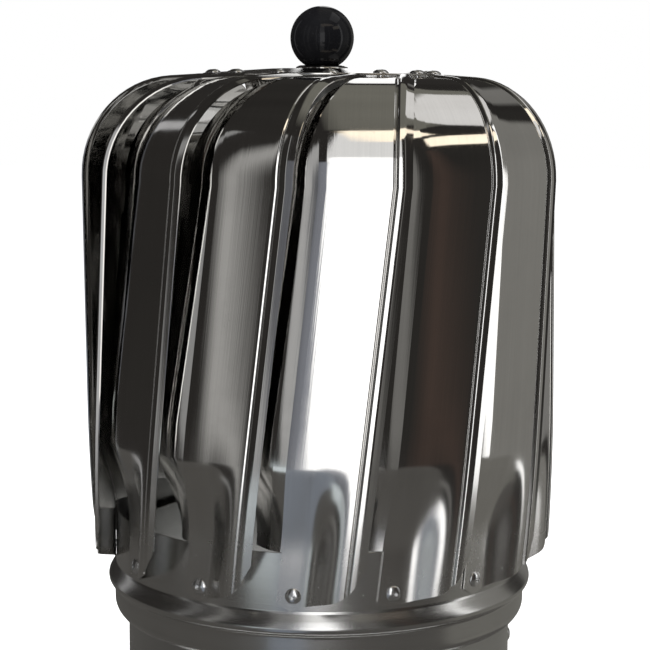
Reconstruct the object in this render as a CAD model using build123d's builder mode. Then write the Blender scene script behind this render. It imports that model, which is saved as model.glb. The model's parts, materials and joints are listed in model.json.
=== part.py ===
"""Roof turbine ventilator: a spinning cowl of slanted vanes on a fixed flue spigot.

The origin is the centre of the spigot's bottom edge and +Z points up along the spindle.
Lengths are in millimetres, angles in degrees; azimuth runs from -Y towards +X.
"""
import os
from math import asin, cos, degrees, hypot, radians, sin, sqrt, tan

from build123d import *

# ---- driving dimensions: fixed base ----
spigot_diameter = 248.0
spigot_wall = 1.0
spigot_length = 126.0
stop_bead_height = 38.0
stop_bead_radius = 2.6
arm_count = 3
arm_azimuth = 90.0
arm_height = 22.0
arm_thickness = 3.0
arm_level = 56.0
arm_tab_width = 24.0
hub_diameter = 30.0
hub_length = 44.0
spindle_diameter = 16.0
spindle_end_diameter = 12.0
spindle_end_overrun = 3.0
nut_across_flats = 18.0
nut_height = 9.0
washer_diameter = 24.0
washer_thickness = 2.0

# ---- driving dimensions: rotor ring ----
ring_gap = 7.8
ring_wall = 1.0
ring_level = 110.0
ring_band_height = 35.3
groove_flare = 3.4
groove_drop = 6.0
bead_bulge = 1.6
bead_height = 8.8
bead_crest_drop = 3.96
skirt_step = 0.85
skirt_height = 13.0
lip_gap = 1.6
lip_drop_share = 0.75
lip_turn_in = 0.4
lip_turn_down = 0.7
lip_wall_turn = 0.7

# ---- driving dimensions: vanes ----
vane_count = 14
sheet = 0.8
vane_reach = 18.2
shoulder_radius = 60.0
shoulder_level = 356.8
plate_slope = 4.0
vane_first_azimuth = -6.5
vane_edge_lead = 15.5
vane_lean = 6.5
vane_face_turn = 17.5
vane_top_width_angle = 25.0
vane_top_overlap = 13.0
hem_width = 3.2
bead_width = 4.6
bead_rise = 2.2
bead_flank_width = 1.15
crease_strip = 3.0
crease_rise = 1.0
face_flat = 8.0
tab_height = 34.0
tab_flat = 16.0
strip_width = 51.5
curl_width = 6.0
curl_drop = 4.0
curl_turn_width = 3.3
curl_turn_drop = 1.4
band_rivet_height = 9.9
band_rivet_inset = 11.3
top_rivet_inset = 5.2
vane_foot = 9.0
lower_cut_rise = 20.5
lower_cut_run = 25.0
lower_cut_slope = 18.0
lower_cut_radius = 34.0
lower_chamfer_width = 9.5
lower_chamfer_overrun = 4.0
lower_chamfer_drop = 7.6
hem_cut_out = 10.0
hem_cut_up = 20.0
hem_end_gap = 1.0
hem_end_reach = 4.0
hem_end_margin = 5.0
foot_allowance = 1.0
curve_steps = 3
shoulder_steps = 6

# ---- driving dimensions: rivets ----
rivet_diameter = 4.8
rivet_head_diameter = 9.5
rivet_head_height = 1.9
rivet_tail_diameter = 6.8
rivet_tail_length = 1.6
rivet_head_taper = 35.0
rivet_head_sides = 12
rivet_shank_sides = 6

# ---- driving dimensions: top plate, bearings and knob ----
plate_radius = 75.0
plate_thickness = 1.2
plate_flat_radius = 30.0
top_rivet_edge = 4.5
cap_diameter = 56.0
cap_thickness = 4.0
housing_diameter = 36.0
housing_flange_thickness = 3.0
housing_lip = 2.0
housing_bolt_circle = 46.0
housing_bolt_count = 4
housing_bolt_diameter = 5.0
housing_bolt_head_diameter = 8.5
housing_bolt_head_height = 3.2
bearing_outer_diameter = 28.0
bearing_inner_ring_diameter = 18.0
bearing_width = 8.0
bearing_spacing = 24.0
bearing_shoulder = 1.6
nut_headroom = 2.5
knob_diameter = 40.0
knob_height = 37.0
knob_washer_radius = 16.5
knob_washer_top_radius = 14.0
knob_washer_height = 2.0
stud_diameter = 10.0
stud_nut_height = 6.0
stud_nut_across_flats = 15.0
stud_grip = 14.0
stud_room = 1.0
stud_overrun = 1.0
knob_steps = 12

# ---- clearances ----
seat_gap = 0.2
fit_gap = 0.05
hole_gap = 0.15
seal_gap = 0.3

# ---- how far a cut runs past the metal ----
cut_overrun = 1.0
cut_margin = 30.0
hole_cut_depth = 9.0


# ---- places worked out from the sizes ----
def outward(azimuth, radius=1.0):
    """The point at an azimuth and a radius, on the plane z = 0."""
    a = radians(azimuth)
    return Vector(radius * sin(a), -radius * cos(a), 0)


def along(azimuth):
    """The direction in which azimuth grows."""
    a = radians(azimuth)
    return Vector(cos(a), sin(a), 0)


def radial_plane(azimuth, radius, level):
    """Upright plane facing outward from the spindle."""
    origin = outward(azimuth, radius) + Vector(0, 0, level)
    return Plane(origin=origin, x_dir=along(azimuth), z_dir=outward(azimuth))


def upward_plane(azimuth, radius, level):
    """Level plane facing up, centred at an azimuth and radius."""
    origin = outward(azimuth, radius) + Vector(0, 0, level)
    return Plane(origin=origin, x_dir=along(azimuth), z_dir=(0, 0, 1))


spigot_radius = spigot_diameter / 2
spigot_inner = spigot_radius - spigot_wall
ring_band_radius = spigot_radius + ring_gap
vane_radius = ring_band_radius + vane_reach
top_rivet_radius = plate_radius - top_rivet_edge
vane_top_radius = plate_radius - vane_top_overlap
hub_radius = hub_diameter / 2
hub_bottom = arm_level - hub_length / 2
hub_top = hub_bottom + hub_length
pitch = 360 / vane_count

# The vane is one straight formed strip: it leans along its side and bends over the shoulder.
side_height = shoulder_level - ring_level
side_middle = ring_level + side_height / 2
lean = tan(radians(vane_lean))
edge_azimuth = vane_first_azimuth + vane_edge_lead + degrees(lean * side_height / 2 / vane_radius)
face_azimuth = edge_azimuth - vane_face_turn
edge_middle = outward(edge_azimuth, vane_radius) + Vector(0, 0, side_middle)
strip_way = along(edge_azimuth) * lean + Vector(0, 0, 1)
across_way = along(face_azimuth)
face_way = outward(face_azimuth)


def edge_point(level):
    """The hem's corner at a level of the side."""
    return edge_middle + strip_way * (level - side_middle)


tab_radius = ring_band_radius + seat_gap + sheet
rivet_level = ring_level + band_rivet_height
vane_bottom = rivet_level - vane_foot

# Over the shoulder the strip runs straight inward, so in plan its hem stays this far from the spindle.
shoulder_edge = edge_point(shoulder_level)
hem_side = shoulder_edge.dot(across_way)
shoulder_forward = shoulder_edge.dot(face_way)
bend_centre = shoulder_edge - face_way * shoulder_radius
rim_side = hem_side - hem_width - bead_width - crease_strip
tab_inner_angle = degrees(asin(hem_side / plate_radius)) - vane_top_width_angle
tab_inner_side = plate_radius * sin(radians(tab_inner_angle))
top_rivet_side = tab_inner_side + top_rivet_inset
top_rivet_forward = sqrt(top_rivet_radius**2 - top_rivet_side**2)
top_rivet_azimuth = face_azimuth + degrees(asin(top_rivet_side / top_rivet_radius))
tab_end_forward = sqrt(vane_top_radius**2 - top_rivet_side**2)
slope = radians(plate_slope) * cos(radians(top_rivet_azimuth - face_azimuth))
bend_angle = 90 - degrees(slope)
bend_end_forward = bend_centre.dot(face_way) + shoulder_radius * sin(slope)
bend_end_level = shoulder_level + shoulder_radius * cos(slope)
tab_run = (bend_end_forward - tab_end_forward) / cos(slope)
tab_top_rise = crease_rise / cos(slope) + (bend_end_forward - top_rivet_forward) * tan(slope)
tab_top_level = bend_end_level + tab_top_rise


def tab_excess(side, forward):
    """How far the flat top tab rises above the plate's cone at a point, when both meet at the rivet."""
    cone_rise = (top_rivet_radius - hypot(side, forward)) * tan(radians(plate_slope))
    return (top_rivet_forward - forward) * tan(slope) - cone_rise


rim_forward = sqrt(plate_radius**2 - rim_side**2)
tab_twist = max(0, tab_excess(rim_side, rim_forward), tab_excess(rim_side, tab_end_forward))
plate_seat = tab_top_level + seat_gap + tab_twist
plate_under = plate_seat + (top_rivet_radius - plate_flat_radius) * tan(radians(plate_slope))
plate_rim_under = plate_seat - (plate_radius - top_rivet_radius) * tan(radians(plate_slope))
plate_top = plate_under + plate_thickness

# Under the plate hang the cap, the housing and its two bearings; the spindle's nut ends below the stud's.
cap_under = plate_under - cap_thickness
stud_end = cap_under - stud_nut_height - stud_overrun
spindle_end = stud_end - nut_headroom
top_nut_level = spindle_end - spindle_end_overrun - nut_height
top_washer_level = top_nut_level - washer_thickness
upper_bearing_level = top_washer_level - bearing_width
lower_bearing_level = upper_bearing_level - bearing_spacing - bearing_width
housing_bottom = lower_bearing_level - housing_lip
lower_washer_level = hub_bottom - washer_thickness
lower_nut_level = lower_washer_level - nut_height
bearing_radius = bearing_outer_diameter / 2
inner_ring_radius = bearing_inner_ring_diameter / 2
end_radius = spindle_end_diameter / 2
knob_level = plate_top + knob_washer_height


def side_plane(level):
    """Level plane across the strip: x along its width to the hem, y outward."""
    return Plane(origin=edge_point(level), x_dir=across_way, z_dir=(0, 0, -1))


def bend_plane(angle, run=0.0):
    """Plane across the strip at an angle round the shoulder, and a length beyond it."""
    turn = radians(angle)
    normal = face_way * cos(turn) + Vector(0, 0, sin(turn))
    ahead = Vector(0, 0, cos(turn)) - face_way * sin(turn)
    origin = bend_centre + normal * shoulder_radius + ahead * run
    return Plane(origin=origin, x_dir=across_way, z_dir=across_way.cross(normal))


def curve_points(near, far, way_out, way_in):
    """Points between two corners on a curve that leaves and arrives along two directions."""
    reach = 0.4 * (far - near).length
    points = []
    for step in range(1, curve_steps):
        t = step / curve_steps
        start = near * (1 - t) ** 3 + (near + way_out * reach) * (3 * t * (1 - t) ** 2)
        end = (far - way_in * reach) * (3 * t**2 * (1 - t)) + far * t**3
        points.append(start + end)
    return points


def beneath(point, way):
    """The point on the sheet's inner side below one on its outer side."""
    return point + Vector(way.Y, -way.X) * sheet


face = Vector(1, 0)
hem = Vector(0, 0)
bead_end = Vector(-hem_width, 0)
bead_start = Vector(-hem_width - bead_width, 0)
bead_flank = Vector(bead_flank_width, bead_rise)
crease = Vector(bead_start.X - crease_strip, crease_rise)
bead_top = [bead_start + bead_flank, bead_end + Vector(-bead_flank_width, bead_rise)]
rim = [crease, bead_start, *bead_top, bead_end, hem]
rim += [beneath(hem, face), beneath(bead_start, face), beneath(crease, face)]


def strip_outline():
    """Corners of the strip's section above the foot: a wide flat face and its curled inner edge."""
    face_start = Vector(-strip_width + curl_width, crease_rise)
    curl = face_start + Vector(-curl_turn_width, -curl_turn_drop)
    inner = face_start + Vector(-curl_width, -curl_drop)
    curl_way = (face_start - inner).normalized()
    inside = [beneath(face_start, face), beneath(curl, curl_way), beneath(inner, curl_way)]
    return [inner, curl, face_start] + rim + inside


def foot_outline(level):
    """Corners of the foot's section: the riveting tab, and the sheet that rises from it to the face."""
    seat_azimuth = vane_first_azimuth + degrees(lean * (level - rivet_level) / tab_radius)
    seat = outward(seat_azimuth, tab_radius) + Vector(0, 0, level) - edge_point(level)
    rivet = Vector(seat.dot(across_way), seat.dot(face_way))
    tangent = along(seat_azimuth)
    tab_way = Vector(tangent.dot(across_way), tangent.dot(face_way))
    inner = rivet - tab_way * band_rivet_inset
    tab_end = inner + tab_way * tab_flat
    face_start = crease - face * face_flat
    lower_end = beneath(tab_end, tab_way)
    lower_face = beneath(face_start, face)
    outside = [inner, tab_end, *curve_points(tab_end, face_start, tab_way, face), face_start]
    inside = [lower_face, *reversed(curve_points(lower_end, lower_face, tab_way, face))]
    return outside + rim + inside + [lower_end, beneath(inner, tab_way)]


# ---- vanes ----
radial_face = Plane(origin=(0, 0, 0), x_dir=along(vane_first_azimuth), z_dir=outward(vane_first_azimuth))
plan = Plane(origin=(0, 0, shoulder_level), x_dir=across_way, z_dir=(0, 0, 1))

foot_start = (-band_rivet_inset - lower_chamfer_overrun, vane_bottom + lower_chamfer_drop)
foot_corner = (-band_rivet_inset + lower_chamfer_width, vane_bottom)
foot_turn = (foot_corner[0] + lower_cut_run, vane_bottom + lower_cut_run * tan(radians(lower_cut_slope)))
foot_edge = (vane_radius * sin(radians(vane_edge_lead)), ring_level + lower_cut_rise)
foot_out = (foot_edge[0] + hem_cut_out, foot_edge[1] + hem_cut_up)
foot_floor = vane_bottom - cut_margin

foot_top = ring_level + tab_height
strip_planes = [side_plane(foot_top), side_plane(shoulder_level)]
strip_planes += [bend_plane(bend_angle * step / shoulder_steps) for step in range(1, shoulder_steps + 1)]
strip_planes.append(bend_plane(bend_angle, tab_run))

with BuildPart() as vane:
    for level in [vane_bottom - foot_allowance, foot_top]:
        with BuildSketch(side_plane(level)):
            with BuildLine():
                Polyline(*foot_outline(level), close=True)
            make_face()
    loft(ruled=True)
    # the foot: a small chamfer inside, then a rising and rounded corner under the hem
    with BuildSketch(radial_face):
        with BuildLine():
            Polyline(foot_start, foot_corner, foot_turn)
            RadiusArc(foot_turn, foot_edge, -lower_cut_radius)
            Polyline(
                foot_edge,
                foot_out,
                (foot_out[0] + cut_margin, foot_floor),
                (foot_start[0], foot_floor),
                foot_start,
            )
        make_face()
    extrude(amount=vane_radius + cut_margin, mode=Mode.SUBTRACT)
    for plane in strip_planes:
        with BuildSketch(plane):
            with BuildLine():
                Polyline(*strip_outline(), close=True)
            make_face()
    loft(ruled=True)
    # over the shoulder the inner side tapers to the top tab, and the hem ends at the plate's rim
    with BuildSketch(plan):
        with BuildLine():
            Polyline(
                (hem_side - strip_width, -shoulder_forward),
                (tab_inner_side, -plate_radius * cos(radians(tab_inner_angle))),
                (tab_inner_side, 0),
                (hem_side - strip_width - cut_margin, 0),
                (hem_side - strip_width - cut_margin, -shoulder_forward),
                close=True,
            )
        make_face()
        with BuildLine():
            Polyline(
                (rim_side, -sqrt((plate_radius + hem_end_gap) ** 2 - rim_side**2)),
                (hem_side + hem_end_margin, -sqrt((plate_radius + hem_end_reach) ** 2 - hem_side**2)),
                (hem_side + hem_end_margin, 0),
                (rim_side, 0),
                close=True,
            )
        make_face()
    extrude(amount=shoulder_radius + cut_margin, mode=Mode.SUBTRACT)

# ---- rivets ----
rivet_hole_radius = (rivet_diameter / 2 + hole_gap) / cos(radians(180 / rivet_shank_sides))


def rivet_at(seat, grip):
    """One rivet: its head rests on the seat plane, and its tail closes the grip behind it."""
    with BuildPart() as rivet:
        with BuildSketch(seat.offset(fit_gap)):
            RegularPolygon(rivet_head_diameter / 2, rivet_head_sides)
        extrude(amount=rivet_head_height, taper=rivet_head_taper)
        with BuildSketch(seat.offset(fit_gap)):
            RegularPolygon(rivet_diameter / 2, rivet_shank_sides)
        extrude(amount=-grip - 2 * fit_gap)
        with BuildSketch(seat.offset(-grip - fit_gap)):
            RegularPolygon(rivet_tail_diameter / 2, rivet_shank_sides)
        extrude(amount=-rivet_tail_length)
    return rivet.part


band_seat = radial_plane(vane_first_azimuth, tab_radius, rivet_level)
band_grip = tab_radius - ring_band_radius + ring_wall + fit_gap
top_seat_origin = outward(top_rivet_azimuth, top_rivet_radius) + Vector(0, 0, plate_seat + plate_thickness)
top_seat_way = outward(top_rivet_azimuth, sin(radians(plate_slope))) + Vector(0, 0, cos(radians(plate_slope)))
top_seat = Plane(origin=top_seat_origin, x_dir=along(top_rivet_azimuth), z_dir=top_seat_way)

with BuildPart() as band_rivets:
    with PolarLocations(0, vane_count):
        add(rivet_at(band_seat, band_grip))

with BuildPart() as top_rivets:
    with PolarLocations(0, vane_count):
        add(rivet_at(top_seat, plate_thickness + plate_seat - tab_top_level + sheet + fit_gap))

arm_rivet_seat = radial_plane(arm_azimuth, spigot_radius, arm_level)
arm_tab_outer = spigot_inner - fit_gap
with BuildPart() as arm_rivets:
    with PolarLocations(0, arm_count):
        add(rivet_at(arm_rivet_seat, spigot_radius - arm_tab_outer + arm_thickness + fit_gap))

# ---- vane rivet holes ----
with BuildPart() as vane_01:
    add(vane.part)
    with BuildSketch(band_seat):
        RegularPolygon(rivet_hole_radius, rivet_shank_sides)
    extrude(amount=hole_cut_depth, both=True, mode=Mode.SUBTRACT)
    with BuildSketch(top_seat):
        RegularPolygon(rivet_hole_radius, rivet_shank_sides)
    extrude(amount=hole_cut_depth, both=True, mode=Mode.SUBTRACT)

# ---- fixed base ----
with BuildPart() as base_spigot:
    with BuildSketch(Plane.XZ):
        with BuildLine():
            Polyline(
                (spigot_radius, 0),
                (spigot_radius, stop_bead_height - stop_bead_radius),
                (spigot_radius + stop_bead_radius, stop_bead_height - stop_bead_radius / 2),
                (spigot_radius + stop_bead_radius, stop_bead_height + stop_bead_radius / 2),
                (spigot_radius, stop_bead_height + stop_bead_radius),
                (spigot_radius, spigot_length),
                (spigot_inner, spigot_length),
                (spigot_inner, 0),
                close=True,
            )
        make_face()
    revolve(axis=Axis.Z)
    for number in range(arm_count):
        with BuildSketch(radial_plane(arm_azimuth + number * 360 / arm_count, spigot_radius, arm_level)):
            RegularPolygon(rivet_hole_radius, rivet_shank_sides)
        extrude(amount=arm_thickness, both=True, mode=Mode.SUBTRACT)

with BuildPart() as spider_hub:
    with BuildSketch(Plane.XY.offset(hub_bottom)):
        Circle(hub_diameter / 2)
        Circle(end_radius + fit_gap, mode=Mode.SUBTRACT)
    extrude(amount=hub_length)

# One arm: a bar from the hub that turns along the spigot's wall, with the rivet at the tab's middle.
tab_turn = degrees(asin(arm_tab_width / 2 / arm_tab_outer))
bar_azimuth = arm_azimuth - tab_turn
with BuildPart() as spider_arm:
    with BuildSketch(upward_plane(bar_azimuth, 0, arm_level - arm_height / 2)):
        Circle(arm_tab_outer)
        Circle(arm_tab_outer - arm_thickness, mode=Mode.SUBTRACT)
        with Locations((arm_tab_width / 2 - arm_thickness / 2, -arm_tab_outer)):
            Rectangle(arm_tab_width, arm_tab_outer, mode=Mode.INTERSECT)
        bar_start = hub_diameter / 2 + fit_gap
        bar_end = arm_tab_outer - arm_thickness / 2
        with Locations((0, -(bar_start + bar_end) / 2)):
            Rectangle(arm_thickness, bar_end - bar_start)
    extrude(amount=arm_height)
    with BuildSketch(arm_rivet_seat):
        RegularPolygon(rivet_hole_radius, rivet_shank_sides)
    extrude(amount=-2 * arm_thickness, mode=Mode.SUBTRACT)

with BuildPart() as spindle:
    with BuildSketch(Plane.XY.offset(lower_nut_level - spindle_end_overrun)):
        Circle(end_radius)
    extrude(amount=hub_top - lower_nut_level + spindle_end_overrun)
    with BuildSketch(Plane.XY.offset(hub_top)):
        Circle(spindle_diameter / 2)
    extrude(amount=lower_bearing_level - hub_top)
    with BuildSketch(Plane.XY.offset(lower_bearing_level)):
        Circle(end_radius)
    extrude(amount=spindle_end - lower_bearing_level)


def nut_at(level, across_flats, height, bore_radius):
    """A hexagon nut, bored for the thread's outside."""
    with BuildPart() as nut:
        with BuildSketch(Plane.XY.offset(level)):
            RegularPolygon(across_flats / 2, 6, major_radius=False)
            Circle(bore_radius, mode=Mode.SUBTRACT)
        extrude(amount=height)
    return nut


def ring_at(level, outer_radius, inner_radius, height):
    """A plain turned ring round the spindle's axis."""
    with BuildPart() as ring:
        with BuildSketch(Plane.XY.offset(level)):
            Circle(outer_radius)
            Circle(inner_radius, mode=Mode.SUBTRACT)
        extrude(amount=height)
    return ring


lower_washer = ring_at(lower_washer_level, washer_diameter / 2, end_radius + hole_gap, washer_thickness)
upper_washer = ring_at(top_washer_level, inner_ring_radius, end_radius + hole_gap, washer_thickness)
lower_nut = nut_at(lower_nut_level, nut_across_flats, nut_height, end_radius + fit_gap)
upper_nut = nut_at(top_nut_level, nut_across_flats, nut_height, end_radius + fit_gap)
lower_inner = ring_at(lower_bearing_level, inner_ring_radius, end_radius + fit_gap, bearing_width)
upper_inner = ring_at(upper_bearing_level, inner_ring_radius, end_radius + fit_gap, bearing_width)
spacer_level = lower_bearing_level + bearing_width
spacer = ring_at(spacer_level, inner_ring_radius, end_radius + fit_gap, bearing_spacing)

# ---- rotor: bearings, housing and cap ----
housing_bolt_hole_radius = housing_bolt_diameter / 2 + hole_gap
lower_outer = ring_at(lower_bearing_level, bearing_radius, inner_ring_radius + seal_gap, bearing_width)
upper_outer = ring_at(upper_bearing_level, bearing_radius, inner_ring_radius + seal_gap, bearing_width)

with BuildPart() as bearing_housing:
    with BuildSketch(Plane.XZ):
        seat_radius = bearing_radius + fit_gap
        flange_radius = cap_diameter / 2
        flange_level = cap_under - housing_flange_thickness
        with BuildLine():
            Polyline(
                (seat_radius, housing_bottom),
                (housing_diameter / 2, housing_bottom),
                (housing_diameter / 2, flange_level),
                (flange_radius, flange_level),
                (flange_radius, cap_under),
                (seat_radius, cap_under),
                (seat_radius, upper_bearing_level),
                (seat_radius - bearing_shoulder, upper_bearing_level),
                (seat_radius - bearing_shoulder, lower_bearing_level + bearing_width),
                (seat_radius, lower_bearing_level + bearing_width),
                close=True,
            )
        make_face()
    revolve(axis=Axis.Z)
    with BuildSketch(Plane.XY.offset(flange_level)):
        with PolarLocations(housing_bolt_circle / 2, housing_bolt_count):
            RegularPolygon(housing_bolt_hole_radius, rivet_shank_sides)
    extrude(amount=housing_flange_thickness, mode=Mode.SUBTRACT)

with BuildPart() as housing_cap:
    with BuildSketch(Plane.XY.offset(cap_under)):
        Circle(cap_diameter / 2)
        Circle(stud_diameter / 2 + hole_gap, mode=Mode.SUBTRACT)
        with PolarLocations(housing_bolt_circle / 2, housing_bolt_count):
            RegularPolygon(housing_bolt_hole_radius, rivet_shank_sides, mode=Mode.SUBTRACT)
    extrude(amount=cap_thickness)

with BuildPart() as housing_bolts:
    with BuildSketch(Plane.XY.offset(flange_level)):
        with PolarLocations(housing_bolt_circle / 2, housing_bolt_count):
            RegularPolygon(housing_bolt_head_diameter / 2, 6)
    extrude(amount=-housing_bolt_head_height)
    with BuildSketch(Plane.XY.offset(flange_level)):
        with PolarLocations(housing_bolt_circle / 2, housing_bolt_count):
            RegularPolygon(housing_bolt_diameter / 2, rivet_shank_sides)
    extrude(amount=plate_under - flange_level)

# ---- rotor: ring, plate and knob ----
groove_radius = ring_band_radius + groove_flare
skirt_radius = ring_band_radius + skirt_step
skirt_top = ring_level - groove_drop - bead_height
skirt_bottom = skirt_top - skirt_height
lip_inner = spigot_radius + lip_gap
lip_drop = (skirt_radius - lip_inner) * lip_drop_share
lip_turn = (skirt_radius - lip_drop * lip_turn_in, skirt_bottom - lip_drop * lip_turn_down)


def ring_side(inset):
    """The ring's section line, from the band's top to the lip, moved inward by an inset."""
    return [
        (ring_band_radius - inset, ring_level + ring_band_height),
        (ring_band_radius - inset, ring_level),
        (groove_radius - inset, ring_level - groove_drop),
        (groove_radius + bead_bulge - inset, ring_level - groove_drop - bead_crest_drop),
        (skirt_radius - inset, skirt_top),
        (skirt_radius - inset, skirt_bottom),
        (lip_turn[0] - inset * lip_wall_turn, lip_turn[1] + inset * lip_wall_turn),
        (lip_inner, skirt_bottom - lip_drop + inset),
    ]


with BuildPart() as rotor_ring:
    with BuildSketch(Plane.XZ):
        with BuildLine():
            Polyline(*ring_side(0), *reversed(ring_side(ring_wall)), close=True)
        make_face()
    revolve(axis=Axis.Z)
    for number in range(vane_count):
        with BuildSketch(radial_plane(vane_first_azimuth + number * pitch, ring_band_radius, rivet_level)):
            RegularPolygon(rivet_hole_radius, rivet_shank_sides)
        extrude(amount=ring_wall * 3, both=True, mode=Mode.SUBTRACT)

with BuildPart() as top_plate:
    with BuildSketch(Plane.XZ):
        with BuildLine():
            Polyline(
                (stud_diameter / 2 + hole_gap, plate_under),
                (plate_flat_radius, plate_under),
                (plate_radius, plate_rim_under),
                (plate_radius, plate_rim_under + plate_thickness),
                (plate_flat_radius, plate_top),
                (stud_diameter / 2 + hole_gap, plate_top),
                close=True,
            )
        make_face()
    revolve(axis=Axis.Z)
    with BuildSketch(Plane.XY.offset(plate_rim_under - cut_overrun)):
        with PolarLocations(top_rivet_radius, vane_count, start_angle=top_rivet_azimuth - 90):
            RegularPolygon(rivet_hole_radius, rivet_shank_sides, rotation=90)
    extrude(amount=plate_top - plate_rim_under + 2 * cut_overrun, mode=Mode.SUBTRACT)

with BuildPart() as knob_washer:
    with BuildSketch(Plane.XZ):
        with BuildLine():
            Polyline(
                (stud_diameter / 2 + hole_gap, plate_top),
                (knob_washer_radius, plate_top),
                (knob_washer_top_radius, knob_level),
                (stud_diameter / 2 + hole_gap, knob_level),
                close=True,
            )
        make_face()
    revolve(axis=Axis.Z)

knob_radius = knob_diameter / 2
knob_centre = knob_level + knob_height - knob_radius
knob_foot_angle = degrees(asin((knob_level - knob_centre) / knob_radius))
knob_turns = [knob_foot_angle + (90 - knob_foot_angle) * step / knob_steps for step in range(knob_steps + 1)]


def knob_point(turn):
    """The point on the ball's side at an angle above its middle."""
    return (knob_radius * cos(radians(turn)), knob_centre + knob_radius * sin(radians(turn)))


with BuildPart() as ball_knob:
    with BuildSketch(Plane.XZ):
        with BuildLine():
            Polyline(
                (0, knob_level),
                *[knob_point(turn) for turn in knob_turns],
                close=True,
            )
        make_face()
    revolve(axis=Axis.Z)
    with BuildSketch(Plane.XY.offset(knob_level)):
        Circle(stud_diameter / 2 + fit_gap)
    extrude(amount=stud_grip + stud_room, mode=Mode.SUBTRACT)

with BuildPart() as knob_stud:
    with BuildSketch(Plane.XY.offset(stud_end)):
        Circle(stud_diameter / 2)
    extrude(amount=knob_level + stud_grip - stud_end)

nut_level = stud_end + stud_overrun
stud_nut = nut_at(nut_level, stud_nut_across_flats, stud_nut_height, stud_diameter / 2 + fit_gap)

# ---- one file for each sub-part ----
sub_parts = {
    "base_spigot": base_spigot.part,
    "spider_hub": spider_hub.part,
    "arm_rivets": arm_rivets.part,
    "spindle": spindle.part,
    "spindle_lower_washer": lower_washer.part,
    "spindle_lower_nut": lower_nut.part,
    "lower_bearing_inner": lower_inner.part,
    "bearing_spacer": spacer.part,
    "upper_bearing_inner": upper_inner.part,
    "spindle_top_washer": upper_washer.part,
    "spindle_top_nut": upper_nut.part,
    "lower_bearing_outer": lower_outer.part,
    "upper_bearing_outer": upper_outer.part,
    "bearing_housing": bearing_housing.part,
    "housing_cap": housing_cap.part,
    "housing_bolts": housing_bolts.part,
    "rotor_ring": rotor_ring.part,
    "band_rivets": band_rivets.part,
    "top_plate": top_plate.part,
    "top_rivets": top_rivets.part,
    "knob_washer": knob_washer.part,
    "ball_knob": ball_knob.part,
    "knob_stud": knob_stud.part,
    "stud_nut": stud_nut.part,
}
for number in range(arm_count):
    sub_parts[f"spider_arm_{number + 1}"] = spider_arm.part.rotate(Axis.Z, number * 360 / arm_count)
for number in range(vane_count):
    sub_parts[f"vane_{number + 1:02d}"] = vane_01.part.rotate(Axis.Z, number * pitch)

os.makedirs("parts", exist_ok=True)
for label, shape in sub_parts.items():
    shape.label = label
    export_step(shape, f"parts/{label}.step")
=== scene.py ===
import json
from math import asin, cos, degrees, pi, radians, sin, sqrt, tan

import bmesh
import bpy
from mathutils import Matrix, Vector


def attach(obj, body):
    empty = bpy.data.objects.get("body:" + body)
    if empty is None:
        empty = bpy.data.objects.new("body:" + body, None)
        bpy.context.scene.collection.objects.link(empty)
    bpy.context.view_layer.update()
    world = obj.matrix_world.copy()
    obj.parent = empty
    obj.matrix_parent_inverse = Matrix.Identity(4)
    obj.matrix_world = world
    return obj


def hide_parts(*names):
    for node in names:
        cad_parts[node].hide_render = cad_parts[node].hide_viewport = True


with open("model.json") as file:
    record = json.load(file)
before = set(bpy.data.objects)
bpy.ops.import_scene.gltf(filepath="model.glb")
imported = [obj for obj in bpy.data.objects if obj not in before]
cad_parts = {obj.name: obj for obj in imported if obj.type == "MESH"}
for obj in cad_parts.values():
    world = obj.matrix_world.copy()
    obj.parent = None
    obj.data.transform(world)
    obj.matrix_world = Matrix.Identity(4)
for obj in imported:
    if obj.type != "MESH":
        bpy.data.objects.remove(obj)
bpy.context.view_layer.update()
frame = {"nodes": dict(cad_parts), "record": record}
bpy.context.scene.view_settings.view_transform = "Standard"
print("frame loaded")

mm = 0.001  # lengths in the dictionaries are millimetres, angles are degrees


# azimuth runs from -Y towards +X
def outward(azimuth, radius=1.0):
    return Vector((radius * sin(radians(azimuth)), -radius * cos(radians(azimuth)), 0))


def along(azimuth):
    return Vector((cos(radians(azimuth)), sin(radians(azimuth)), 0))


def up(level):
    return Vector((0, 0, level))


camera = {"distance": 1106.5, "height": 412.5, "pitch": 7.82, "yaw": 0.15, "roll": 0.35, "lens": 96.15}


def placeCamera():
    data = bpy.data.cameras.new("camera")
    data.lens = camera["lens"]
    data.clip_end = 50
    holder = bpy.data.objects.new("camera", data)
    bpy.context.scene.collection.objects.link(holder)
    pitch, yaw, roll = (radians(camera[name]) for name in ("pitch", "yaw", "roll"))
    ahead = Vector((sin(yaw) * cos(pitch), cos(yaw) * cos(pitch), -sin(pitch)))
    side = ahead.cross(up(1)).normalized()
    top = side.cross(ahead)
    axes = Matrix((side * cos(roll) + top * sin(roll), top * cos(roll) - side * sin(roll), -ahead))
    spot = Vector((0, -camera["distance"], camera["height"])) * mm
    holder.matrix_world = Matrix.Translation(spot) @ axes.transposed().to_4x4()
    bpy.context.scene.camera = holder


placeCamera()


# shader maths is written as plain expressions on this
class Signal:
    def __init__(self, finish, socket):
        self.finish, self.socket = finish, socket

    def withMath(self, operation, first, second=0.0):
        made = self.finish.node("ShaderNodeMath", {"operation": operation}, {0: first, 1: second})
        return self.finish.read(made)

    def __add__(self, other):
        return self.withMath("ADD", self, other)

    def __radd__(self, other):
        return self.withMath("ADD", other, self)

    def __sub__(self, other):
        return self.withMath("SUBTRACT", self, other)

    def __rsub__(self, other):
        return self.withMath("SUBTRACT", other, self)

    def __mul__(self, other):
        return self.withMath("MULTIPLY", self, other)

    def __rmul__(self, other):
        return self.withMath("MULTIPLY", other, self)

    def __abs__(self):
        return self.withMath("ABSOLUTE", self)


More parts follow.
